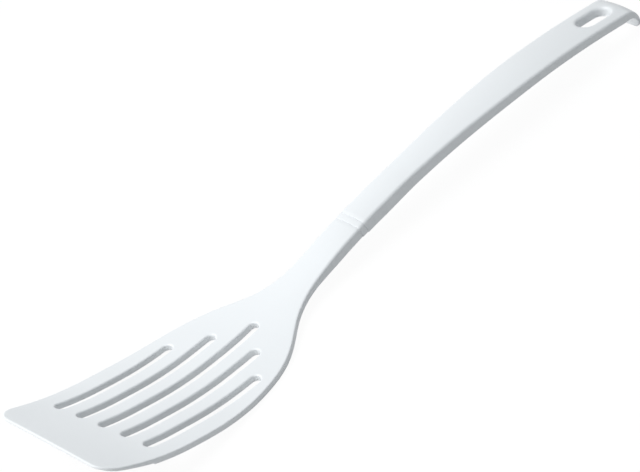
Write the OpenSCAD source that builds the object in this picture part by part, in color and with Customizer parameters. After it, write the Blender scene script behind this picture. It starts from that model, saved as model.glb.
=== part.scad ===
// Slotted turner moulded in white nylon, lying as it rests on a worktop: on the heel of its blade
// and on the tip of its hooked handle. +X runs from the blade to the handle, +Z is up, and the
// origin is on the worktop, under the middle of the whole tool. All sizes are in millimetres.

/* [Overall] */
// Length from the foremost corner of the blade to the back of the hook
overall_length = 335; // [300:0.5:360]
// Clearance all round the tang, filled with adhesive on the real tool
fit_clearance = 0.15; // [0.1:0.01:0.25]

/* [Blade] */
// Widest part of the blade
blade_width = 74.4; // [66:0.2:84]
// Distance from the front edge to the heel that rests on the worktop
blade_length = 98; // [90:1:110]
// Height of the front edge above the worktop
front_rise = 27.8; // [22:0.1:34]
// Thickness of the blade where the slots start
blade_thickness = 3.2; // [2.6:0.1:3.6]
// Thickness of the blade at the heel
heel_thickness = 3.4; // [2.9:0.05:4.2]
// How much higher the middle of the blade is than its sides
blade_crown = 0.5; // [0.2:0.05:1]
// Radius of the two front corners
corner_radius = 8; // [5:0.5:12]
// How far one front corner stands ahead of the other
front_slant = 3.3; // [0:0.1:6]
// Length of the thin front lip
lip_length = 22; // [14:1:26]
// Thickness of the front edge
lip_thickness = 1.3; // [0.9:0.1:1.8]
// Height of the step where the lip ends on the underside
lip_step = 0.5; // [0.2:0.05:0.8]
// Bevel along the top of the front edge
edge_bevel = 0.7; // [0.3:0.05:0.9]

/* [Slots] */
// Number of drain slots
slot_count = 5; // [3:2:5]
// Width of a slot
slot_width = 5.2; // [4.6:0.1:6]
// Distance between the middles of two slots
slot_pitch = 12.7; // [11:0.1:13]
// Distance from the front edge to the middle slot
slot_setback = 23.4; // [20:0.2:30]
// Length of the middle slot
slot_length = 83.2; // [60:0.2:86]
// How much earlier each slot ends than the one nearer the middle
slot_taper = 12.3; // [8:0.1:14]
// How far the front ends of the slots step back from one side to the other, per slot
slot_front_step = 1.4; // [0:0.1:2]
// The same at the back ends of the slots
slot_back_step = 1.8; // [0:0.1:3]
// Chamfer round the top of a slot
slot_chamfer = 0.35; // [0.2:0.05:0.6]

/* [Neck] */
// Distance from the heel to the collar
neck_length = 66; // [60:1:74]
// Height of the top of the neck at the collar
neck_rise = 14.7; // [12.5:0.1:17]
// Width of the neck at the collar
neck_width = 15.6; // [14:0.1:18]
// Thickness of the neck at the collar
neck_thickness = 5.8; // [5.2:0.1:7]

/* [Tang] */
// Length of the tongue that the handle is pushed on to
tang_length = 26; // [16:1:34]
// Width of the tang at its root
tang_width = 8; // [6:0.2:9]
// Thickness of the tang
tang_thickness = 2.4; // [1.8:0.1:2.8]
// Bevel at the nose of the tang
tang_lead = 1.2; // [0.6:0.1:2]

/* [Collar] */
// Length of the ring between the neck and the handle
collar_length = 3.3; // [2:0.1:6]
// How far the ring stands proud of the neck
collar_proud = 0.15; // [0.1:0.05:0.3]
// How far the front end of the handle stands proud of the neck's line
handle_proud = 0.35; // [0.25:0.05:0.6]
// Length over which the handle comes back to that line
proud_length = 30; // [15:1:45]
// Bevel at each edge of the ring, of the neck and of the handle, which shows as a fine line
joint_bevel = 0.25; // [0.1:0.05:0.4]

/* [Handle] */
// Height of the highest part of the arched handle
arch_rise = 20; // [18:0.1:22.5]
// Width of the handle at its slimmest
waist_width = 15.1; // [13:0.1:17]
// Width of the handle at its end
handle_width = 20.9; // [18:0.1:24]
// Thickness of the handle at the collar
handle_thickness = 6; // [5.4:0.1:7]
// Thickness of the handle at its end
handle_end_thickness = 4.9; // [4.2:0.1:5.2]
// How much higher the middle of the handle is than its sides
handle_crown = 0.7; // [0.3:0.05:1]
// Radius of the handle's long top edges
handle_edge_radius = 1.2; // [0.6:0.1:1.4]

/* [Hook] */
// Outer radius of the turned-down end
hook_radius = 8; // [7:0.1:9]
// Height of the top of the handle where it starts to turn down
hook_height = 12.1; // [11.4:0.1:13]
// Thickness of the hook at its tip
hook_tip_thickness = 2.4; // [2.3:0.1:3]
// Radius of the hook's long outer edges at its tip
hook_edge_radius = 0.7; // [0.5:0.05:0.8]
// Radius of the two corners at the hook's tip
tip_corner_radius = 3.5; // [2.5:0.5:6]
// Bevel round the tip of the hook
hook_tip_bevel = 0.4; // [0.3:0.1:0.5]

/* [Hanging hole] */
// Length of the hole between its end walls
hole_length = 17; // [11:0.5:20]
// Width of the hole between its side walls
hole_width = 8.8; // [7:0.1:10]
// Distance from the hole's end wall to the back of the hook
hole_inset = 8.7; // [8:0.1:12]
// Radius of the soft rim on top
rim_radius = 1.6; // [0.8:0.1:2]
// Radius of the rim underneath
under_rim_radius = 0.8; // [0.4:0.1:1.2]

/* [Hidden] */
nylon = [0.93, 0.95, 0.95];

// How far a cutting body runs past the face that it cuts
overrun = 0.6;
// Edge radii of the blade and of the neck, and the underside radius of the handle
blade_edge_radius = 0.6;
neck_edge_radius = 1.2;
under_edge_radius = 0.7;
// Spacing of the cross-sections along the blade, the shoulders, the neck and the handle
blade_step = 4;
shoulder_step = 2.6;
neck_step = 4.2;
handle_step = 5;
// Spacing of the points along the straight side of a slot
slot_step = 5;
// Where the cross-sections stand round the two corners at the hook's tip
tip_corner_share = [1, 0.78, 0.58, 0.4, 0.25];
// How far before its back the hook starts to turn down, as a share of its radius
hook_start_share = 0.87;

// Side view of the top surface, as shares of the lengths and rises of the blade, neck and handle
blade_profile_share = [
    [0, 1], [0.12, 0.743], [0.24, 0.519], [0.36, 0.347], [0.48, 0.22],
    [0.6, 0.112], [0.72, 0.041], [0.86, 0.007], [1, 0.004]
];
neck_profile_share = [
    [0.09, 0.041], [0.18, 0.089], [0.27, 0.155], [0.35, 0.227], [0.44, 0.323], [0.53, 0.434], [0.636, 0.572],
    [0.727, 0.7], [0.82, 0.823], [0.91, 0.923], [1, 1]
];
handle_profile_share = [
    [0.05, 0.806], [0.15, 0.895], [0.25, 0.954], [0.37, 0.996], [0.45, 1], [0.55, 0.988], [0.65, 0.954],
    [0.75, 0.888], [0.85, 0.794], [0.93, 0.699]
];

// Plan view: half the width as a share of half the blade's width, along the blade and the shoulders
blade_width_share = [
    [0, 0.935], [0.1, 0.96], [0.2, 0.98], [0.31, 0.995], [0.43, 1], [0.56, 0.997], [0.66, 0.98], [0.77, 0.945],
    [0.87, 0.89], [0.94, 0.835]
];
shoulder_width_share = [
    [0, 0.767], [0.09, 0.674], [0.15, 0.598], [0.21, 0.514], [0.27, 0.433], [0.33, 0.366], [0.39, 0.316], [0.45, 0.277]
];
neck_width_share = [[0.52, 1.18], [0.6, 1.095], [0.7, 1.045], [0.85, 1.02], [1, 1]];
// The same for the handle: how far the width has grown from the waist to the end
handle_width_share = [
    [0, 0.01], [0.1, 0.02], [0.18, 0.05], [0.26, 0.19], [0.36, 0.43], [0.47, 0.69], [0.55, 0.86], [0.64, 0.97],
    [0.75, 1], [1, 1]
];
// Thickness: how much of it the neck has gained by the collar, and how much the handle has lost by its end
neck_thick_share = [[0, 0], [0.25, -0.08], [0.4, -0.04], [0.55, 0.25], [0.65, 0.55], [0.75, 0.82], [0.88, 0.96], [1, 1]];
handle_thin_share = [[0, 0], [0.35, 0.02], [0.47, 0.34], [0.58, 0.57], [0.7, 0.83], [0.82, 0.95], [1, 1]];

// Smooth curve through the points of a table, each [place, value]
function index_at(t, x, i = 0) = (i >= len(t) - 2 || x < t[i + 1][0]) ? i : index_at(t, x, i + 1);
function chord(t, i) = (t[i + 1][1] - t[i][1]) / (t[i + 1][0] - t[i][0]);
function tangent_at(t, i) =
    i == 0 ? chord(t, 0)
    : i == len(t) - 1 ? chord(t, i - 1)
    : (chord(t, i - 1) * (t[i + 1][0] - t[i][0]) + chord(t, i) * (t[i][0] - t[i - 1][0]))
        / (t[i + 1][0] - t[i - 1][0]);
function hermite(a, b, ma, mb, k) =
    a * (2 * k ^ 3 - 3 * k ^ 2 + 1) + ma * (k ^ 3 - 2 * k ^ 2 + k)
    + b * (3 * k ^ 2 - 2 * k ^ 3) + mb * (k ^ 3 - k ^ 2);
function curve_in(t, x, i) =
    let (gap = t[i + 1][0] - t[i][0], k = (x - t[i][0]) / gap)
    hermite(t[i][1], t[i + 1][1], tangent_at(t, i) * gap, tangent_at(t, i + 1) * gap, k);
function curve(t, x) = curve_in(t, min(max(x, t[0][0]), t[len(t) - 1][0]), index_at(t, x));

// Places along the tool, measured from the front edge on the middle line. The slanted edge puts one
// front corner ahead of that, and the slope of the blade puts its underside ahead of its top.
half_blade = blade_width / 2;
front_slope = atan2((blade_profile_share[1][1] - 1) * (front_rise - heel_thickness),
    blade_profile_share[1][0] * blade_length);
front_corner = half_blade * blade_width_share[0][1] - corner_radius;
front_reach = front_slant * front_corner / blade_width - lip_thickness * sin(front_slope);
heel_at = blade_length;
collar_at = heel_at + neck_length;
handle_at = collar_at + collar_length;
back_at = overall_length - front_reach;
origin_at = overall_length / 2 - front_reach;

// The top line of the whole tool up to the start of the hook
hook_at = back_at - hook_radius * hook_start_share;
handle_run = hook_at - handle_at;
top_line = concat(
    [for (p = blade_profile_share)
        [p[0] * blade_length, heel_thickness + p[1] * (front_rise - heel_thickness)]],
    [for (p = neck_profile_share)
        [heel_at + p[0] * neck_length, heel_thickness + p[1] * (neck_rise - heel_thickness)]],
    [for (p = handle_profile_share)
        [handle_at + p[0] * handle_run, p[1] * arch_rise]],
    [[hook_at, hook_height]]
);
// The outline of the whole tool, half the width at each place
half_line = concat(
    [for (p = blade_width_share) [p[0] * blade_length, p[1] * half_blade]],
    [for (p = shoulder_width_share) [heel_at + p[0] * neck_length, p[1] * half_blade]],
    [for (p = neck_width_share) [heel_at + p[0] * neck_length, p[1] * neck_width / 2]],
    [for (p = handle_width_share)
        [handle_at + p[0] * handle_run, (waist_width + p[1] * (handle_width - waist_width)) / 2]]
);
thick_line = concat(
    [for (p = neck_thick_share)
        [heel_at + p[0] * neck_length, heel_thickness + p[1] * (neck_thickness - heel_thickness)]],
    [for (p = handle_thin_share)
        [handle_at + p[0] * handle_run, handle_thickness + p[1] * (handle_end_thickness - handle_thickness)]]
);

// Slope of the top line in degrees, and the place that it reaches: past the start of the hook the
// line turns down on the hook's outer radius, and then runs straight down
slope_span = blade_step / 8;
function slope_at(u) =
    let (c = min(max(u, slope_span), hook_at - slope_span))
    atan2(curve(top_line, c + slope_span) - curve(top_line, c - slope_span), slope_span * 2);
hook_slope = slope_at(hook_at);
hook_turn = 90 + hook_slope;
hook_arc = hook_radius * hook_turn * PI / 180;
hook_centre = [hook_at + hook_radius * sin(hook_slope), hook_height - hook_radius * cos(hook_slope)];
function angle_at(u) =
    u <= hook_at ? slope_at(u) : max(hook_slope - (u - hook_at) / hook_radius * 180 / PI, -90);
function place_at(u) =
    u < 0 ? [u, curve(top_line, 0) + u * tan(front_slope)]
    : u <= hook_at ? [u, curve(top_line, u)]
    : let (a = angle_at(u), drop = max(u - hook_at - hook_arc, 0))
        hook_centre + [-sin(a), cos(a)] * hook_radius - [0, drop];
tip_at = hook_at + hook_arc + hook_centre[1];
// The hook's centre is moved so that its back stands where the overall length says
hook_shift = back_at - (hook_centre[0] + hook_radius);

// The slanted front edge: places shift along the tool, most at the edge and not at all past the fade
slant_fade = blade_length * 0.8;
function fade(u) = max(1 - max(u, 0) / slant_fade, 0) ^ 2;
function slanted(u, y) = u - front_slant * y / blade_width * fade(u);
// A point given by its place along the tool, its side offset and its height over the top line
function bent(u, y, h) =
    let (v = slanted(u, y), p = place_at(v), a = angle_at(v),
        pull = hook_shift * min(max((v - handle_at) / handle_run, 0), 1))
    [p[0] - sin(a) * h - origin_at + pull, y, p[1] + cos(a) * h];

// Half width, thickness, crown and edge radii of the cross-section at a place
function corner_cut(reach, r) = reach >= r ? 0 : r - sqrt(r ^ 2 - (r - reach) ^ 2);
function half_at(u) =
    curve(half_line, u) - corner_cut(u, corner_radius) - corner_cut(tip_at - u, tip_corner_radius);
function lip_at(u) =
    lip_thickness + (blade_thickness - lip_step - lip_thickness) * (u / lip_length) ^ 0.8;
function between(a, b, k) = a + (b - a) * min(max(k, 0), 1);
function thickness_at(u) =
    u < lip_length ? lip_at(u)
    : u < heel_at ? between(blade_thickness, heel_thickness, (u - lip_length) / (heel_at - lip_length))
    : u < hook_at ? curve(thick_line, u)
    : between(handle_end_thickness, hook_tip_thickness, (u - hook_at) / hook_arc);
function crown_at(u) =
    u < heel_at ? blade_crown * min(u / lip_length + 0.3, 1)
    : between(blade_crown, handle_crown, (u - heel_at) / neck_length);
function edge_at(u) =
    u < heel_at ? blade_edge_radius * min(u / lip_length + 0.4, 1)
    : u < handle_at ? between(blade_edge_radius, neck_edge_radius, (u - heel_at) / neck_length)
    : between(handle_edge_radius, hook_edge_radius, (u - hook_at) / hook_arc);
function under_at(u) = u < heel_at ? edge_at(u) * 0.7 : under_edge_radius;
function proud_at(u) = handle_proud * max(1 - (u - handle_at) / proud_length, 0);
function surface_at(u, y) = -crown_at(u) * (y / half_at(u)) ^ 2;

// Cross-section as [side offset, height] points, round the section once. drop lowers the top,
// grow moves the whole outline outwards.
top_points = 9;
under_points = top_points + 2;
round_points = 4;
function section(w, t, crown, r, s, drop = 0, grow = 0) =
    let (side = w + grow, low = -t - grow, high = grow - drop,
        rise = min(crown, t * 0.3),
        shoulder = high - rise * ((w - r) / w) ^ 2,
        dip = rise - rise * ((w - r) / w) ^ 2,
        top = [for (i = [0 : top_points - 1])
            let (y = (w - r) * (2 * i / (top_points - 1) - 1)) [y, high - rise * (y / w) ^ 2]],
        right = [for (i = [1 : round_points])
            let (a = 90 * i / round_points)
            [side - r - grow + (r + grow) * sin(a), shoulder - (r + dip) * (1 - cos(a))]],
        right_low = [for (i = [0 : round_points - 1])
            let (a = 90 * i / (round_points - 1)) [side - s * (1 - cos(a)), low + s * (1 - sin(a))]],
        under = [for (i = [1 : under_points - 2])
            [(side - s) * (1 - 2 * i / (under_points - 1)), low]],
        left_low = [for (i = [round_points - 1 : -1 : 0]) [-right_low[i][0], right_low[i][1]]],
        left = [for (i = [round_points - 1 : -1 : 0]) [-right[i][0], right[i][1]]])
    concat(top, right, right_low, under, left_low, left);

// Closed solid through a list of rings that all have the same number of points. Each end is closed by
// strips that join the points before and after the seam, pair by pair. The first pair is the point
// number seam with itself when ahead is 0, or with the next point when ahead is 1.
function end_faces(count, seam, ahead, first) = [
    for (k = [0 : count / 2 - 1 - ahead])
        let (a = first + (seam + ahead + k) % count, b = first + (seam - k + count) % count,
            c = first + (seam + ahead + k + 1) % count, d = first + (seam - k - 1 + count) % count)
        each [if (c != d) [a, c, d], if (c == d) [a, c, b], if (a != b && c != d) [a, d, b]]
];
function turned(faces) = [for (f = faces) [f[2], f[1], f[0]]];
module skin(rings, seam, ahead) {
    count = len(rings[0]);
    last = len(rings) - 1;
    polyhedron(
        points = [for (ring = rings) each ring],
        faces = concat(
            turned(end_faces(count, seam, ahead, 0)),
            [for (j = [0 : last - 1], i = [0 : count - 1])
                let (a = j * count + i, b = j * count + (i + 1) % count, c = a + count, d = b + count)
                each [[a, b, d], [a, d, c]]],
            end_faces(count, seam, ahead, last * count)
        )
    );
}
section_seam = top_points - 1 + round_points;
function ring_at(u, drop = 0, grow = 0, inset = 0) = [
    for (p = section(half_at(u) - inset, thickness_at(u) - inset, crown_at(u),
            min(edge_at(u), (thickness_at(u) - crown_at(u)) * 0.85), under_at(u), drop + inset, grow))
        bent(u, p[0], p[1])
];
function steps(from, to, size) =
    let (n = max(1, round((to - from) / size))) [for (i = [0 : n - 1]) from + (to - from) * i / n];

// Outline of an oblong hole from end to end, as [along, across] points round it once
cap_points = 9;
function oblong(from, to, y, r) =
    let (sides = steps(from, to, slot_step))
    concat(
        [for (i = [0 : cap_points - 1]) let (a = 90 + 180 * i / (cap_points - 1))
            [from + r * cos(a), y + r * sin(a)]],
        [for (i = [1 : len(sides) - 1]) [sides[i], y - r]],
        [for (i = [0 : cap_points - 1]) let (a = -90 + 180 * i / (cap_points - 1))
            [to + r * cos(a), y + r * sin(a)]],
        [for (i = [len(sides) - 1 : -1 : 1]) [sides[i], y + r]]
    );
// Cutting body of an oblong hole that follows the top surface. from and to are the centres of its
// round ends. Each layer is [height over the surface, radius].
module oblong_cutter(from, to, y, layers) {
    rings = [for (layer = layers)
        [for (p = oblong(from, to, y, layer[1])) bent(p[0], p[1], layer[0] + surface_at(p[0], p[1]))]];
    skin(rings, (cap_points - 1) / 2, 0);
}

// Front and back ends of a slot, by its place from the middle: positive places are on the +Y side
function slot_front(k) = slot_setback - k * slot_front_step;
function slot_back(k) = slot_setback + slot_length - abs(k) * slot_taper - k * slot_back_step;
module slot(k) {
    r = slot_width / 2;
    deep = max(blade_thickness, heel_thickness) + overrun;
    oblong_cutter(slot_front(k) + r, slot_back(k) - r, k * slot_pitch, [
        [overrun, r + slot_chamfer + overrun],
        [-slot_chamfer, r],
        [-deep, r]
    ]);
}

// The tongue on the head and, with a clearance, the socket for it
module tongue(from, to, spare, lead) {
    w = tang_width / 2 + spare;
    t = tang_thickness + 2 * spare;
    r = tang_thickness / 4;
    taper = tang_lead / 2;
    places = concat(steps(from, to - lead, handle_step), [to - lead]);
    rings = [for (u = places)
        [for (p = section(w, t, 0, r, r)) bent(u, p[0], p[1] - (thickness_at(u) - t) / 2)]];
    nose = [for (p = section(w - taper, t - taper, 0, r / 2, r / 2))
        bent(to, p[0], p[1] - (thickness_at(to) - t + taper) / 2)];
    skin(concat(rings, [nose]), section_seam, 1);
}

// The slotted blade, its neck and the tang, one moulding
module head() {
    slot_middle = (slot_count - 1) / 2;
    places = concat(
        [edge_bevel], steps(edge_bevel * 2, corner_radius, corner_radius / 5),
        steps(corner_radius, lip_length, blade_step), [lip_length - blade_edge_radius],
        steps(lip_length, heel_at, blade_step),
        steps(heel_at, heel_at + neck_length * 0.55, shoulder_step),
        steps(heel_at + neck_length * 0.55, collar_at - joint_bevel, neck_step), [collar_at - joint_bevel]
    );
    color(nylon) difference() {
        union() {
            skin(concat(
                [ring_at(0, edge_bevel)],
                [for (u = places) ring_at(u)],
                [ring_at(collar_at, 0, 0, joint_bevel)]
            ), section_seam, 1);
            tongue(collar_at - tang_lead, handle_at + tang_length, 0, tang_lead);
        }
        for (k = [-slot_middle : slot_middle]) slot(k);
    }
}

// The narrow ring that hides the joint between the neck and the handle
module collar() {
    places = [collar_at + joint_bevel, handle_at - joint_bevel];
    color(nylon) difference() {
        skin(concat(
            [ring_at(collar_at, 0, collar_proud - joint_bevel)],
            [for (u = places) ring_at(u, 0, collar_proud)],
            [ring_at(handle_at, 0, collar_proud - joint_bevel)]
        ), section_seam, 1);
        tongue(collar_at - overrun, handle_at + overrun, fit_clearance, overrun / 2);
    }
}

// The arched handle with its socket, hanging hole and hook
module handle() {
    hole_radius = hole_width / 2;
    hole_back = back_at - hole_inset - hole_radius;
    hole_front = back_at - hole_inset - hole_length + hole_radius;
    depth = handle_end_thickness + overrun;
    rim_angles = [72, 54, 36, 18, 0];
    under_angles = [0, 25, 50];
    places = concat(
        [handle_at + joint_bevel], steps(handle_at + handle_step / 2, hook_at, handle_step),
        steps(hook_at, tip_at - tip_corner_radius, hook_radius / 5),
        [for (share = tip_corner_share) tip_at - tip_corner_radius * share], [tip_at - hook_tip_bevel]
    );
    color(nylon) difference() {
        skin(concat(
            [ring_at(handle_at, 0, handle_proud - joint_bevel)],
            [for (u = places) ring_at(u, 0, proud_at(u))],
            [ring_at(tip_at, 0, 0, hook_tip_bevel)]
        ), section_seam, 1);
        tongue(handle_at - overrun, handle_at + tang_length + fit_clearance * 2, fit_clearance, tang_lead);
        oblong_cutter(hole_front, hole_back, 0, concat(
            [[overrun, hole_radius + rim_radius + overrun]],
            [for (a = rim_angles) [rim_radius * (sin(a) - 1), hole_radius + rim_radius * (1 - cos(a))]],
            [for (a = under_angles) [under_rim_radius * (1 - sin(a)) - handle_end_thickness,
                hole_radius + under_rim_radius * (1 - cos(a))]],
            [[-depth, hole_radius + under_rim_radius + overrun / 2]]
        ));
    }
}

head();
collar();
handle();
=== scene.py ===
from math import atan, cos, pi, sin, sqrt, tan

import bpy
import numpy as np
from mathutils import Matrix, Vector


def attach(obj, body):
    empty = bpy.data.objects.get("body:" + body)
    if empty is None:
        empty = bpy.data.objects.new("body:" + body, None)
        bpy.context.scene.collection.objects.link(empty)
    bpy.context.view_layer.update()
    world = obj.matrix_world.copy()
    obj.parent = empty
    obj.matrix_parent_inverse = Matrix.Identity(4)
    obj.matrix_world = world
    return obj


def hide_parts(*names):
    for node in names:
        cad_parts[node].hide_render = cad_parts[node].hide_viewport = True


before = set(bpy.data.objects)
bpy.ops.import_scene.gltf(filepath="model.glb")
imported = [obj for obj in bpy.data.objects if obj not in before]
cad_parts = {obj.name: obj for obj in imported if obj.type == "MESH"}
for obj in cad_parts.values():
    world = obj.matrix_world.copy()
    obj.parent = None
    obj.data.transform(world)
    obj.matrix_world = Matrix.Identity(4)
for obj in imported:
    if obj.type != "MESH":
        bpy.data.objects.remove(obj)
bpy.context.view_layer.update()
scene = bpy.context.scene
scene.view_settings.view_transform = "Standard"


# Camera: the long lens of a product picture, a metre and a half away. It looks down over the near
# side of the blade, turned so that the tool lies from the lower left to the upper right.
def aim(name, data, place, forward, up):
    """Adds a camera or a lamp at a place, looking along forward with its top towards up."""
    forward, up = Vector(forward).normalized(), Vector(up)
    right = forward.cross(up).normalized()
    thing = bpy.data.objects.new(name, data)
    scene.collection.objects.link(thing)
    turn = Matrix((right, right.cross(forward), -forward)).transposed().to_4x4()
    thing.matrix_world = Matrix.Translation(place) @ turn
    return thing


lens = bpy.data.cameras.new("camera")
lens.sensor_fit = "HORIZONTAL"
lens.sensor_width = 36
lens.lens = 202.5
lens.clip_start, lens.clip_end = 0.05, 20
camera_place, camera_forward = (-0.58597, -1.06642, 0.91577), (0.37863, 0.70813, -0.59602)
camera_up = (0.59555, 0.30655, 0.74257)
scene.camera = aim("camera", lens, camera_place, camera_forward, camera_up)


# Light: one broad soft lamp high up beyond the blade's front edge, a narrow one for the hook, and
# an even, slightly cool room all round, which is white only where it is looked at.
class Socket:
    """A shader socket that can be added to and multiplied, so that patterns read as sums."""

    def __init__(self, tree, out):
        self.tree, self.out = tree, out

    def node(self, kind, settings=None, **values):
        """A new node. Its settings go first, then the value or link of each socket, which is named
        or numbered: Base_Color or _0."""
        made = self.tree.nodes.new("ShaderNode" + kind)
        for key, value in (settings or {}).items():
            setattr(made, key, value)
        for key, value in values.items():
            key = int(key[1:]) if key[0] == "_" else key.replace("_", " ")
            plug = made.inputs[key]
            if isinstance(value, Socket):
                self.tree.links.new(value.out, plug)
            else:
                plug.default_value = value
        return made

    def of(self, kind, output=0, settings=None, **values):
        """One output of a new node."""
        return Socket(self.tree, self.node(kind, settings, **values).outputs[output])

    def maths(self, operation, other):
        return self.of("Math", settings={"operation": operation}, _0=self, _1=other)

    def __add__(self, other):
        return self.maths("ADD", other)

    def __mul__(self, other):
        return self.maths("MULTIPLY", other)

    __radd__, __rmul__ = __add__, __mul__


def paint(block):
    """An empty node tree for a material or the world."""
    block.use_nodes = True
    block.node_tree.nodes.clear()
    return Socket(block.node_tree, None)


def in_view(tree):
    """1 for a ray from the camera, also by way of gloss or glass, and 0 for a ray that only
    gathers light."""
    camera, gloss, glass = (tree.of("LightPath", f"Is {kind} Ray")
                            for kind in ("Camera", "Glossy", "Transmission"))
    return camera + gloss + glass


plain_white, cool_white = (1, 1, 1, 1), (0.95, 1, 1.03, 1)
room_light = 0.36
room = bpy.data.worlds.new("room")
scene.world = room
air = paint(room)
looked_at = in_view(air)
air_colour = air.of("Mix", 2, {"data_type": "RGBA"}, _0=looked_at, _6=cool_white, _7=plain_white)
air_strength = looked_at * (1 - room_light) + room_light
glow = air.node("Background", Color=air_colour, Strength=air_strength)
air.tree.links.new(glow.outputs[0], air.node("OutputWorld").inputs[0])

lamp = bpy.data.lights.new("soft_lamp", "AREA")
lamp.shape = "DISK"
lamp.size = 1.1
lamp.energy = 19.3
lamp_place = Vector((-0.75, 0.45, 1.25))
aim("soft_lamp", lamp, lamp_place, -lamp_place, (0, 0, 1))

# The narrow lamp stands low on the far side, so that its light reaches the inside of the hook
hook_lamp = bpy.data.lights.new("hook_lamp", "SPOT")
hook_lamp.energy = 7.6
hook_lamp.spot_size, hook_lamp.spot_blend = 0.12, 1
hook_lamp.shadow_soft_size = 0.03
hook_lamp_place, hook_inside = Vector((-0.465, 0.168, 0.06)), Vector((0.163, 0, 0.004))
aim("hook_lamp", hook_lamp, hook_lamp_place, hook_inside - hook_lamp_place, (0, 0, 1))


# Floor: a pale sheet under the tool. To the light it is light grey, and where it is looked at it
# is white with a faint shadow.
sheet_grey, shadow_grey, sheet_glow = 0.58, 0.06, 0.95
bpy.ops.object.select_all(action="DESELECT")
bpy.ops.mesh.primitive_plane_add(size=6, location=(0, 0, 0))
floor = bpy.context.object
floor.name = "floor"
bpy.ops.object.transform_apply(location=True, rotation=True, scale=True)
sheet = bpy.data.materials.new("floor_white")
sheet_paint = paint(sheet)
dull = sheet_paint.of("BsdfDiffuse", Color=(sheet_grey, sheet_grey, sheet_grey, 1))
shadowed = sheet_paint.of("BsdfDiffuse", Color=(shadow_grey, shadow_grey, shadow_grey, 1))
lit = sheet_paint.of("Emission", Color=plain_white, Strength=sheet_glow)
faint = sheet_paint.of("AddShader", _0=shadowed, _1=lit)
both = sheet_paint.node("MixShader", _0=in_view(sheet_paint), _1=dull, _2=faint)
sheet_paint.tree.links.new(both.outputs[0], sheet_paint.node("OutputMaterial").inputs[0])
floor.data.materials.append(sheet)


# Head: slotted blade, shoulders, neck and tang in one moulding of white nylon. The tang goes
# through the collar into the handle. The piece is modelled as its flat pattern, in true lengths
# and thicknesses, and then bent to its side view.
mm = 0.001


def line_through(points):
    """A smooth line through points, each [place, value], as a function of the place."""
    x, v = np.array(points, float).T
    gap = np.diff(x)
    chord = np.diff(v) / gap
    mid = (chord[:-1] * gap[1:] + chord[1:] * gap[:-1]) / (gap[1:] + gap[:-1])
    lean = np.concatenate((chord[:1], mid, chord[-1:]))

    def value(place):
        p = np.clip(place, x[0], x[-1])
        i = np.clip(np.searchsorted(x, p, "right") - 1, 0, len(gap) - 1)
        k = (p - x[i]) / gap[i]
        return (v[i] * (2 * k ** 3 - 3 * k ** 2 + 1) + lean[i] * gap[i] * (k ** 3 - 2 * k ** 2 + k)
                + v[i + 1] * (3 * k ** 2 - 2 * k ** 3) + lean[i + 1] * gap[i] * (k ** 3 - k ** 2))
    return value


def between(a, b, share):
    """The value a share of the way from a to b, never outside the two."""
    return a + (b - a) * np.clip(share, 0, 1)


# Sizes along the whole tool, because head, collar and handle follow one line
overall, blade_width, blade_length = 335 * mm, 74.4 * mm, 98 * mm
half_blade = blade_width / 2
neck_length, collar_length = 66 * mm, 3.3 * mm
front_rise, neck_rise, arch_rise, hook_height = 27.8 * mm, 14.7 * mm, 20 * mm, 12.1 * mm
lip_thick, blade_thick, heel_thick, neck_thick = 1.3 * mm, 3.2 * mm, 3.4 * mm, 5.8 * mm
grip_thick, end_thick, hook_tip_thick = 6 * mm, 4.9 * mm, 2.4 * mm
neck_width, waist_width, handle_width = 15.6 * mm, 15.1 * mm, 20.9 * mm
lip_length, lip_step, front_slant = 22 * mm, 0.5 * mm, 3.3 * mm
blade_crown, handle_crown = 0.5 * mm, 0.7 * mm
blade_edge, neck_edge, handle_edge, hook_edge = 0.6 * mm, 1.2 * mm, 1.2 * mm, 0.7 * mm
corner, tip_corner, hook_radius = 8 * mm, 3.5 * mm, 8 * mm

# Side view, half widths and thicknesses, as shares of a length and of a rise, width or thickness
blade_profile = ((0, 1), (0.12, 0.743), (0.24, 0.519), (0.36, 0.347), (0.48, 0.22), (0.6, 0.112),
                 (0.72, 0.041), (0.86, 0.007), (1, 0.004))
neck_profile = ((0.09, 0.041), (0.18, 0.089), (0.27, 0.155), (0.35, 0.227), (0.44, 0.323),
                (0.53, 0.434), (0.636, 0.572), (0.727, 0.7), (0.82, 0.823), (0.91, 0.923), (1, 1))
handle_profile = ((0.05, 0.806), (0.15, 0.895), (0.25, 0.954), (0.37, 0.996), (0.45, 1),
                  (0.55, 0.988), (0.65, 0.954), (0.75, 0.888), (0.85, 0.794), (0.93, 0.699))
blade_widths = ((0, 0.935), (0.1, 0.96), (0.2, 0.98), (0.31, 0.995), (0.43, 1), (0.56, 0.997),
                (0.66, 0.98), (0.77, 0.945), (0.87, 0.89), (0.94, 0.835))
shoulder_widths = ((0, 0.767), (0.09, 0.674), (0.15, 0.598), (0.21, 0.514), (0.27, 0.433),
                   (0.33, 0.366), (0.39, 0.316), (0.45, 0.277))
neck_widths = ((0.52, 1.18), (0.6, 1.095), (0.7, 1.045), (0.85, 1.02), (1, 1))
handle_widths = ((0, 0.01), (0.1, 0.02), (0.18, 0.05), (0.26, 0.19), (0.36, 0.43), (0.47, 0.69),
                 (0.55, 0.86), (0.64, 0.97), (0.75, 1), (1, 1))
neck_thicks = ((0, 0), (0.25, -0.08), (0.4, -0.04), (0.55, 0.25), (0.65, 0.55), (0.75, 0.82),
               (0.88, 0.96), (1, 1))
handle_thicks = ((0, 0), (0.35, 0.02), (0.47, 0.34), (0.58, 0.57), (0.7, 0.83), (0.82, 0.95),
                 (1, 1))

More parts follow.
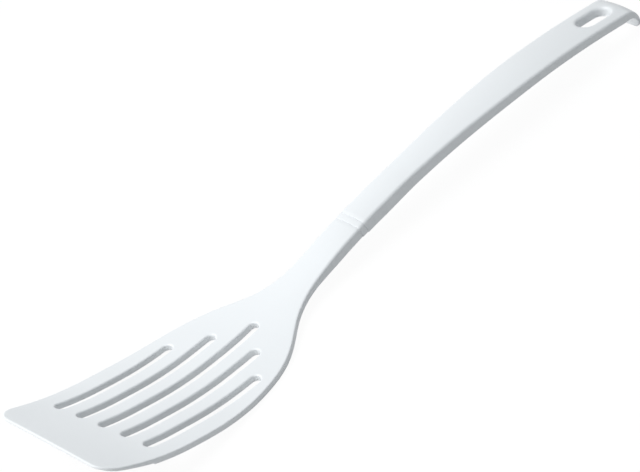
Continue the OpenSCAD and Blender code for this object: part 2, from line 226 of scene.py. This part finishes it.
# Places along the tool, from the front edge on the middle line
second_place, second_rise = blade_profile[1]
front_slope = atan((second_rise - 1) * (front_rise - heel_thick) / (second_place * blade_length))
flat_front = half_blade * blade_widths[0][1] - corner
front_reach = front_slant * flat_front / blade_width - lip_thick * sin(front_slope)
heel_at = blade_length
collar_at = heel_at + neck_length
handle_at = collar_at + collar_length
back_at = overall - front_reach
origin_at = overall / 2 - front_reach
hook_share = 0.87
hook_at = back_at - hook_share * hook_radius
handle_run = hook_at - handle_at

top_line = line_through(
    [[s * blade_length, between(heel_thick, front_rise, z)] for s, z in blade_profile]
    + [[heel_at + s * neck_length, between(heel_thick, neck_rise, z)] for s, z in neck_profile]
    + [[handle_at + s * handle_run, z * arch_rise] for s, z in handle_profile]
    + [[hook_at, hook_height]])
half_line = line_through(
    [[s * blade_length, y * half_blade] for s, y in blade_widths]
    + [[heel_at + s * neck_length, y * half_blade] for s, y in shoulder_widths]
    + [[heel_at + s * neck_length, y * neck_width / 2] for s, y in neck_widths]
    + [[handle_at + s * handle_run, between(waist_width, handle_width, y) / 2]
       for s, y in handle_widths])
thick_line = line_through(
    [[heel_at + s * neck_length, heel_thick + t * (neck_thick - heel_thick)]
     for s, t in neck_thicks]
    + [[handle_at + s * handle_run, between(grip_thick, end_thick, t)] for s, t in handle_thicks])


def slope(u):
    """Angle of the side view at a place."""
    reach = 0.5 * mm
    c = np.clip(u, reach, hook_at - reach)
    return np.arctan2(top_line(c + reach) - top_line(c - reach), 2 * reach)


# The hook: past its start the line turns down on its radius until it runs straight down
hook_slope = float(slope(hook_at))
hook_arc = hook_radius * (pi / 2 + hook_slope)
hook_middle = (hook_at + hook_radius * sin(hook_slope), hook_height - hook_radius * cos(hook_slope))
tip_at = hook_at + hook_arc + hook_middle[1]
hook_shift = back_at - hook_middle[0] - hook_radius


def thickness(u):
    """The lip thickens quickly from the front edge, and the step under the blade ends it."""
    lip_power = 0.8
    grown = (np.clip(u, 0, None) / lip_length) ** lip_power
    lip = lip_thick + (blade_thick - lip_step - lip_thick) * grown
    blade = between(blade_thick, heel_thick, (u - lip_length) / (heel_at - lip_length))
    hook = between(end_thick, hook_tip_thick, (u - hook_at) / hook_arc)
    behind = np.where(u < hook_at, thick_line(u), hook)
    return np.where(u < lip_length, lip, np.where(u < heel_at, blade, behind))


def rounding(u):
    """Radius of the long top edges at a place."""
    front_share = 0.4
    blade = blade_edge * np.clip(u / lip_length + front_share, 0, 1)
    neck = between(blade_edge, neck_edge, (u - heel_at) / neck_length)
    hook = between(handle_edge, hook_edge, (u - hook_at) / hook_arc)
    return np.where(u < heel_at, blade, np.where(u < handle_at, neck, hook))


def cut_back(reach, radius):
    """How far an outline steps in this far from its end, for a corner of this radius."""
    r = np.clip(reach, 0, radius)
    return radius - np.sqrt(radius ** 2 - (radius - r) ** 2)


def half_width(u, inset=0):
    """Half the width at a place, of the outline or of one that lies inside it by the inset."""
    return (half_line(u) - inset - cut_back(u - inset, corner - inset)
            - cut_back(tip_at - u - inset, tip_corner - inset))


def bend(obj):
    """Bends a flat pattern, drawn as place, side offset and height, to the tool's side view."""
    crown_at_front, slant_end = 0.3, 0.8 * blade_length
    mesh = obj.data
    flat = np.empty(len(mesh.vertices) * 3)
    mesh.vertices.foreach_get("co", flat)
    u, y, h = flat.reshape(-1, 3).T
    crown = np.where(u < heel_at,
                     blade_crown * np.clip(u / lip_length + crown_at_front, 0, 1),
                     between(blade_crown, handle_crown, (u - heel_at) / neck_length))
    sunk = 1 + np.clip(h / thickness(u), -1, 0)
    h = h - crown * np.clip(np.abs(y) / half_width(u), 0, 1) ** 2 * sunk
    fade = np.clip(1 - np.clip(u, 0, None) / slant_end, 0, None) ** 2
    v = u - front_slant * y / blade_width * fade
    turned = np.maximum(hook_slope - (v - hook_at) / hook_radius, -pi / 2)
    lean = np.where(v <= hook_at, slope(v), turned)
    drop = np.clip(v - hook_at - hook_arc, 0, None)
    x = np.where(v <= hook_at, v, hook_middle[0] - np.sin(lean) * hook_radius)
    hook_line = hook_middle[1] + np.cos(lean) * hook_radius - drop
    z = np.where(v <= hook_at, top_line(v), hook_line)
    z = np.where(v < 0, top_line(0) + v * tan(front_slope), z)
    pull = hook_shift * np.clip((v - handle_at) / handle_run, 0, 1)
    bent = np.stack((x - np.sin(lean) * h - origin_at + pull, y, z + np.cos(lean) * h), 1)
    mesh.vertices.foreach_set("co", bent.ravel())
    mesh.update()


# Slots, by their place from the middle one: positive places are on the +Y side. Their front ends
# follow the slant of the front edge, and their back ends step back to both sides.
slot_pitch, slot_half, bar_cells = 12.7 * mm, 2.6 * mm, 6
slot_start, slot_end = 23.4 * mm, 106.6 * mm
front_slant_step, back_slant_step, back_step = 1.4 * mm, 1.8 * mm, 12.3 * mm
slot_places = range(-2, 3)
slot_middles = [k * slot_pitch for k in slot_places]
slot_fronts = [slot_start - k * front_slant_step for k in slot_places]
slot_backs = [slot_end - abs(k) * back_step - k * back_slant_step for k in slot_places]
slot_ring = (slot_pitch - 2 * slot_half) / bar_cells


def spread(first, last, step):
    """Even places from first up to, but not including, last."""
    count = max(1, round((last - first) / step))
    return [first + (last - first) * i / count for i in range(count)]


# Rows run across the tool and columns along it. Both are numbered as they lie round the middle
# slot. A row or column goes round each slot at the distance of slot_ring, so that its rim can be
# rounded. The front edge and the front row behind it run round the two front corners.
cap_cells = 4
front_row, wide_rows_at, close_rows_at = 1 * mm, 2.2 * mm, 17 * mm
wide_row, close_row, bar_row, shoulder_row = 2.1 * mm, 0.7 * mm, 2.2 * mm, 2 * mm
before_slot, after_slot = slot_start - slot_ring, slot_end + slot_ring
rows = ([0, front_row] + spread(wide_rows_at, close_rows_at, wide_row)
        + spread(close_rows_at, before_slot, close_row) + [before_slot]
        + spread(slot_start, slot_start + slot_half, slot_half / cap_cells)
        + spread(slot_start + slot_half, slot_end - slot_half, bar_row)
        + spread(slot_end - slot_half, slot_end, slot_half / cap_cells)
        + [slot_end] + spread(after_slot, collar_at, shoulder_row) + [collar_at])
half_columns = []
for k in range(3):
    middle = k * slot_pitch
    if k:
        half_columns += spread((k - 1) * slot_pitch + slot_half, middle - slot_half, slot_ring)
        half_columns += spread(middle - slot_half, middle, slot_half / cap_cells)
    half_columns += spread(middle, middle + slot_half, slot_half / cap_cells)
outer_side = 2 * slot_pitch + slot_half
side_column, rim_column, last_column = 1.4 * mm, 36.4 * mm, half_blade
half_columns += ([outer_side] + spread(outer_side + slot_ring, rim_column, side_column)
                 + [rim_column, last_column])
columns = [-c for c in reversed(half_columns[1:])] + half_columns


def step_line(y, ends):
    """Where the slots end, by the side offset: level over each slot and its rim, else sloping."""
    margin = 0.1 * mm
    level = slot_half + slot_ring + margin
    places = [middle + way * level for middle in slot_middles for way in (-1, 1)]
    return float(np.interp(y, places, np.repeat(ends, 2)))


def rounded_end(inset, c, marks, sides, radius, flat, outline):
    """Where column c meets a row that runs round the two corners of a straight end, by the row's
    inset: how far that is from the end, and its side offset."""
    row_shift, column_shift = 1.1 * mm, 1.2 * mm
    if c == marks[-1]:
        along = radius * (1 - sqrt(0.5)) + (row_shift if inset else 0)
        return along, float(outline(along))
    reach = radius - inset
    rim = flat + reach * sqrt(0.5) - (0 if inset else column_shift)
    y = float(np.interp(c, marks[:-1], sides + [rim]))
    return radius - sqrt(reach ** 2 - max(y - flat, 0) ** 2), y


def rim_line(u, spare=0):
    """Side offset of the last column before the edge, with room for the edge's rounding."""
    inset, given_back, rounding_share = 1 * mm, 0.75 * mm, 1.25
    return float(half_width(u, inset) + spare - rounding_share * rounding(u) + given_back)


# Where the sides of the slots' columns run once the tool is too narrow for their own places, as
# shares of the rim line
column_marks = [0, slot_half, slot_pitch - slot_half, slot_pitch + slot_half,
                2 * slot_pitch - slot_half, outer_side]
narrowed_shares = [0, 0.15, 0.42, 0.56, 0.76, 0.88]


def head_place(row, column):
    """Where a row and a column of the head meet on the flat pattern."""
    cap, straight = 3.4 * mm, 132 * mm
    front_share, beside_share = 0.965, 0.55
    side, c = (1 if column >= 0 else -1), abs(column)
    if row <= front_row:
        u, y = rounded_end(row, c, [0, outer_side, rim_column, last_column],
                           [0, front_share * outer_side], corner, flat_front, half_width)
        return u, side * y
    first = head_place(front_row, column)[0]
    front, back = step_line(column, slot_fronts), step_line(column, slot_backs)
    if row <= before_slot:
        u = np.interp(row, [front_row, before_slot], [first, front - slot_ring])
    elif row <= after_slot:
        u = np.interp(row, [before_slot, slot_start + cap, slot_end - cap, after_slot],
                      [front - slot_ring, front + cap, back - cap, back + slot_ring])
    else:
        u = np.interp(row, [after_slot, straight, collar_at],
                      [back + slot_ring, straight, collar_at])
    u = float(u)
    if c == last_column:
        return u, side * float(half_width(u))
    rim = rim_line(u)
    if c <= outer_side:
        return u, side * min(c, float(np.interp(c, column_marks, narrowed_shares) * rim))
    inner = min(outer_side, narrowed_shares[-1] * rim)
    beside = inner + min(slot_ring, beside_share * (rim - inner))
    return u, side * float(np.interp(c, [outer_side, outer_side + slot_ring, rim_column],
                                     [inner, beside, rim]))


def blank(name, rows, columns, place):
    """A flat sheet whose rows and columns meet where place says."""
    bpy.ops.object.select_all(action="DESELECT")
    bpy.ops.mesh.primitive_grid_add(x_subdivisions=len(rows) - 1, y_subdivisions=len(columns) - 1,
                                    size=1)
    obj = bpy.context.object
    obj.name = obj.data.name = name
    where = {}
    for v in obj.data.vertices:
        i = round((v.co.x + 0.5) * (len(rows) - 1))
        j = round((v.co.y + 0.5) * (len(columns) - 1))
        where[(i, j)] = v.index
        v.co = (*place(rows[i], columns[j]), 0)
    return obj, where


def select_faces(obj, keep):
    """In edit mode, selects the faces that keep names, and nothing else."""
    bpy.ops.object.mode_set(mode="EDIT")
    bpy.ops.mesh.select_mode(type="FACE")
    bpy.ops.mesh.select_all(action="DESELECT")
    bpy.ops.object.mode_set(mode="OBJECT")
    for face in obj.data.polygons:
        face.select = bool(keep(face))
    bpy.ops.object.mode_set(mode="EDIT")


def open_oblongs(obj, where, rows, columns, front, back, middles, radius, cells, ring):
    """Rounds the two ends of each oblong on the sheet, and the lines that lie outside it by ring,
    which leave room for its rim. Then it takes the oblongs out."""
    first, last = rows.index(front), rows.index(back)
    # The angle between a corner of the ring and the points on either side of it
    aside = 0.08
    gone = []
    for middle in middles:
        left = min(range(len(columns)), key=lambda j: abs(columns[j] - (middle - radius)))
        right = left + 2 * cells
        for end, way in ((first, 1), (last, -1)):
            tip = obj.data.vertices[where[(end, left + cells)]].co.copy()

            def put(i, j, angle, reach):
                """Puts a point at an angle and a reach from the middle of the oblong's cap."""
                obj.data.vertices[where[(i, j)]].co.xy = (
                    tip.x + way * (radius - reach * cos(angle)), tip.y + reach * sin(angle))

            for j in range(-cells, cells + 1):
                put(end, left + cells + j, j / cells * pi / 4, radius)
                put(end - way, left + cells + j, j / cells * (pi / 4 - aside), radius + ring)
            for turn, edge in ((-1, left), (1, right)):
                put(end - way, edge + turn, turn * pi / 4, radius + ring)
                put(end, edge + turn, turn * (pi / 4 + aside), radius + ring)
                for i in range(1, cells):
                    angle = turn * pi / 4 * (1 + i / cells)
                    put(end + way * i, edge, angle, radius)
                    put(end + way * i, edge + turn, angle, radius + ring)
        gone.append({where[(i, j)] for i in range(first, last + 1) for j in range(left, right + 1)})
    select_faces(obj, lambda face: any(all(v in hole for v in face.vertices) for hole in gone))
    bpy.ops.mesh.delete(type="FACE")
    bpy.ops.object.mode_set(mode="OBJECT")


def thicken(obj, top_at, under_at):
    """Extrudes the sheet to a plate whose two faces stand where top_at and under_at say."""
    first_depth = 1 * mm
    select_faces(obj, lambda face: True)
    bpy.ops.mesh.extrude_region_move(TRANSFORM_OT_translate={"value": (0, 0, -first_depth)})
    bpy.ops.mesh.select_all(action="SELECT")
    bpy.ops.mesh.normals_make_consistent(inside=False)
    bpy.ops.object.mode_set(mode="OBJECT")
    for v in obj.data.vertices:
        height_at = under_at if v.co.z < -first_depth / 2 else top_at
        v.co.z = float(height_at(v.co.x))


def pick(obj):
    """Selects one object alone and makes it the active one."""
    bpy.ops.object.select_all(action="DESELECT")
    obj.select_set(True)
    bpy.context.view_layer.objects.active = obj


def round_edges(obj, width_at, segments):
    """Rounds each sharp edge of a plate by the width that width_at gives for its middle."""
    widest, sharp_below = 4 * mm, 0.5
    mesh = obj.data
    sides = {}
    for face in mesh.polygons:
        for key in face.edge_keys:
            sides.setdefault(key, []).append(face.normal)
    name = "bevel_weight_edge"
    weights = mesh.attributes.get(name) or mesh.attributes.new(name, "FLOAT", "EDGE")
    for edge in mesh.edges:
        a, b = (mesh.vertices[i].co for i in edge.vertices)
        one, two = sides[edge.key]
        sharp = one.dot(two) < sharp_below
        weights.data[edge.index].value = width_at((a + b) / 2, a - b) / widest if sharp else 0
    bevel = obj.modifiers.new("edges", "BEVEL")
    bevel.limit_method, bevel.width, bevel.segments = "WEIGHT", widest, segments
    bevel.use_clamp_overlap = False
    pick(obj)
    bpy.ops.object.modifier_apply(modifier=bevel.name)


def bevel_end(obj, at):
    """The fine bevel round the flat end of a piece, where it meets its neighbour."""
    end_bevel, near = 0.25 * mm, 0.01 * mm
    round_edges(obj, lambda middle, along: end_bevel if abs(middle.x - at) < near else 0,
                segments=2)


tang_half, tang_thick, tang_edge, tang_row = 4 * mm, 2.4 * mm, 0.6 * mm, 5 * mm
tang_length, tang_lead = 26 * mm, 1.2 * mm


def tongue(name, start, end, spare, lead):
    """The tang, or with a clearance to spare the space for it. The lead is where it tapers."""
    wide, thick = tang_half + spare, tang_thick + 2 * spare

    def less(u):
        """What the taper takes off at a place."""
        return lead / 2 * np.clip((u - end + lead) / lead, 0, 1)

    def tang_edge_at(middle, along):
        """Width of the rounding: only the long edges in front of the taper have one."""
        lengthwise = abs(along.x) > abs(along.y) + abs(along.z)
        return tang_edge if lengthwise and middle.x < end - lead else 0

    obj, _ = blank(name, spread(start, end - lead, tang_row) + [end - lead, end], [-wide, 0, wide],
                   lambda row, column: (row, column * (1 - float(less(row)) / wide)))
    thicken(obj, lambda u: (thick - less(u) - thickness(u)) / 2,
            lambda u: (less(u) - thick - thickness(u)) / 2)
    round_edges(obj, tang_edge_at, segments=3)
    return obj


def combine(obj, other, operation):
    """Adds a solid to the piece or cuts it out, and takes the solid away."""
    boolean = obj.modifiers.new("combine", "BOOLEAN")
    boolean.operation, boolean.object, boolean.solver = operation, other, "EXACT"
    pick(obj)
    bpy.ops.object.modifier_apply(modifier=boolean.name)
    bpy.data.objects.remove(other)


def finish_piece(obj, node, material):
    """Bends a finished pattern and hands it over in place of its node."""
    bend(obj)
    pick(obj)
    bpy.ops.object.shade_smooth_by_angle(angle=0.6)
    obj.data.materials.clear()
    obj.data.materials.append(material)
    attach(obj, "root")
    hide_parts(node)


# White nylon: satin, with the faint cloudiness and the fine grain of a moulded surface
nylon_dark, nylon_pale = (0.85, 0.874, 0.892, 1), (0.876, 0.898, 0.914, 1)
least_rough, rough_range, grain_depth = 0.34, 0.16, 0.012 * mm
nylon = bpy.data.materials.new("white_nylon")
nylon_paint = paint(nylon)
at = nylon_paint.of("TexCoord", "Object")
cloud = nylon_paint.of("TexNoise", Vector=at, Scale=22, Detail=3, Roughness=0.5)
patch = nylon_paint.of("TexNoise", Vector=at, Scale=90, Detail=4, Roughness=0.6)
grain = nylon_paint.of("TexNoise", Vector=at, Scale=1300, Detail=2, Roughness=0.5)
tint = nylon_paint.of("Mix", 2, {"data_type": "RGBA"}, _0=cloud, _6=nylon_dark, _7=nylon_pale)
relief = nylon_paint.of("Bump", Strength=1, Distance=grain_depth, Height=grain)
skin = nylon_paint.node("BsdfPrincipled", Base_Color=tint, IOR=1.53, Normal=relief,
                        Roughness=patch * rough_range + least_rough)
nylon_paint.tree.links.new(skin.outputs[0], nylon_paint.node("OutputMaterial").inputs[0])

head, where = blank("white_head", rows, columns, head_place)
open_oblongs(head, where, rows, columns, slot_start, slot_end, slot_middles, slot_half, cap_cells,
             slot_ring)
thicken(head, lambda u: 0, lambda u: -thickness(u))

front_edge, slot_rim, slot_under_rim, under_share = 0.6 * mm, 0.9 * mm, 0.3 * mm, 0.7
near_end, near_front, near_side, top_depth = 0.1 * mm, 0.2 * mm, 0.3 * mm, 0.5 * mm


def head_edge(middle, along):
    """Width of the rounding at an edge of the head: outline or slot, above or below."""
    u, y, h = middle
    upright = abs(along.z) > max(abs(along.x), abs(along.y))
    if upright or u > collar_at - near_end:
        return 0
    in_front = u < corner and (u < near_front or abs(y) > flat_front)
    outside = abs(y) > half_width(u) - near_side or in_front
    if h > -top_depth:
        return float(between(front_edge, rounding(u), u / corner)) if outside else slot_rim
    return under_share * float(rounding(u)) if outside else slot_under_rim


round_edges(head, head_edge, segments=5)
bevel_end(head, collar_at)
tang = tongue("tang", collar_at - tang_lead, handle_at + tang_length, 0, tang_lead)
combine(head, tang, "UNION")
finish_piece(head, "head", nylon)


# Collar: the narrow nylon ring between the neck and the handle, threaded on the tang. It stands a
# hair proud, and its bevels leave a fine line on either side.
collar_proud, collar_row, under_edge = 0.15 * mm, 1.1 * mm, 0.7 * mm
fit_clearance, bore_overrun = 0.15 * mm, 0.6 * mm
column_shares = [-1, -0.8, -0.5, -0.25, 0, 0.25, 0.5, 0.8, 1]
collar, _ = blank("white_collar", spread(collar_at, handle_at, collar_row) + [handle_at],
                  column_shares,
                  lambda row, column: (row, column * float(half_width(row) + collar_proud)))
thicken(collar, lambda u: collar_proud, lambda u: -thickness(u) - collar_proud)


def long_edge(middle, along):
    """Width of the rounding at the long edges of the collar, which is square at both ends."""
    if abs(along.x) < abs(along.y) + abs(along.z):
        return 0
    return float(rounding(middle.x)) if middle.z > -top_depth else under_edge


round_edges(collar, long_edge, segments=5)
bevel_end(collar, collar_at)
bevel_end(collar, handle_at)
bore = tongue("bore", collar_at - bore_overrun, handle_at + bore_overrun, fit_clearance,
              bore_overrun / 2)
combine(collar, bore, "DIFFERENCE")
finish_piece(collar, "collar", nylon)


# Handle: the arched grip in white nylon with its hanging hole and hook, made as the head is. The
# socket in its front end is pushed on to the tang.
handle_proud, proud_length = 0.35 * mm, 30 * mm
hole_half, hole_length, hole_to_back = 4.4 * mm, 17 * mm, 8.7 * mm
hole_cells, hole_ring = 5, 2.6 * mm
hole_end = back_at - hole_to_back
hole_start = hole_end - hole_length
hole_rim, hole_under_rim, tip_edge = 1.6 * mm, 0.8 * mm, 0.4 * mm
grip_rim, grip_side = 9 * mm, handle_width / 2
after_end, grip_row, hole_row, hook_row, tip_row = 2 * mm, 2.4 * mm, 1.4 * mm, 0.9 * mm, 1 * mm
before_tip = tip_at - tip_row
grip_rows = ([handle_at] + spread(handle_at + after_end, hole_start - hole_ring, grip_row)
             + [hole_start - hole_ring]
             + spread(hole_start, hole_start + hole_half, hole_half / hole_cells)
             + spread(hole_start + hole_half, hole_end - hole_half, hole_row)
             + spread(hole_end - hole_half, hole_end, hole_half / hole_cells) + [hole_end]
             + spread(hole_end + hole_ring, before_tip, hook_row) + [before_tip, tip_at])
grip_marks = [0, hole_half, hole_half + hole_ring, grip_rim, grip_side]
slim_shares = [0, 0.42, 0.74, 1]
grip_half = spread(0, hole_half, hole_half / hole_cells) + grip_marks[1:]
grip_columns = [-c for c in reversed(grip_half[1:])] + grip_half


def proud(u):
    """How far the handle stands proud of the neck's line, most at its front end."""
    return handle_proud * np.clip(1 - (u - handle_at) / proud_length, 0, 1)


def grip_place(row, column):
    """Where a row and a column of the handle meet on the flat pattern. Columns keep a share of the
    width along the grip, and their own places round the hole."""
    settled_before, wide_from, wide_within = 6 * mm, 290 * mm, 12 * mm
    side, c = (1 if column >= 0 else -1), abs(column)
    if row >= before_tip:
        along, y = rounded_end(tip_at - row, c, grip_marks, grip_marks[:3], tip_corner,
                               grip_side - tip_corner, lambda reach: half_width(tip_at - reach))
        return tip_at - along, side * y
    u = row
    settled = tip_at - settled_before
    if row > settled:
        u = float(np.interp(row, [settled, before_tip],
                            [settled, grip_place(before_tip, column)[0]]))
    if c == grip_side:
        return u, side * float(half_width(u) + proud(u))
    rim = rim_line(u, proud(u))
    wide = min(max((u - wide_from) / wide_within, 0), 1)
    slim = float(np.interp(c, grip_marks[:4], slim_shares)) * rim
    return u, side * (slim + wide * ((c if c < grip_rim else rim) - slim))


handle, where = blank("white_handle", grip_rows, grip_columns, grip_place)
open_oblongs(handle, where, grip_rows, grip_columns, hole_start, hole_end, [0], hole_half,
             hole_cells, hole_ring)
thicken(handle, proud, lambda u: -thickness(u) - proud(u))


def grip_edge(middle, along):
    """Width of the rounding at an edge of the handle: outline or hole, above or below."""
    u, y, h = middle
    upright = abs(along.z) > max(abs(along.x), abs(along.y))
    if upright or u < handle_at + near_end:
        return 0
    top = h > -top_depth
    if abs(y) < hole_half + near_side and hole_start - near_side < u < hole_end + near_side:
        return hole_rim if top else hole_under_rim
    full = float(rounding(u)) if top else under_edge
    return float(between(tip_edge, full, (tip_at - u) / tip_corner))


round_edges(handle, grip_edge, segments=5)
bevel_end(handle, handle_at)
socket = tongue("socket", handle_at - bore_overrun, handle_at + tang_length + 2 * fit_clearance,
                fit_clearance, tang_lead)
combine(handle, socket, "DIFFERENCE")
finish_piece(handle, "handle", nylon)

bpy.context.view_layer.update()
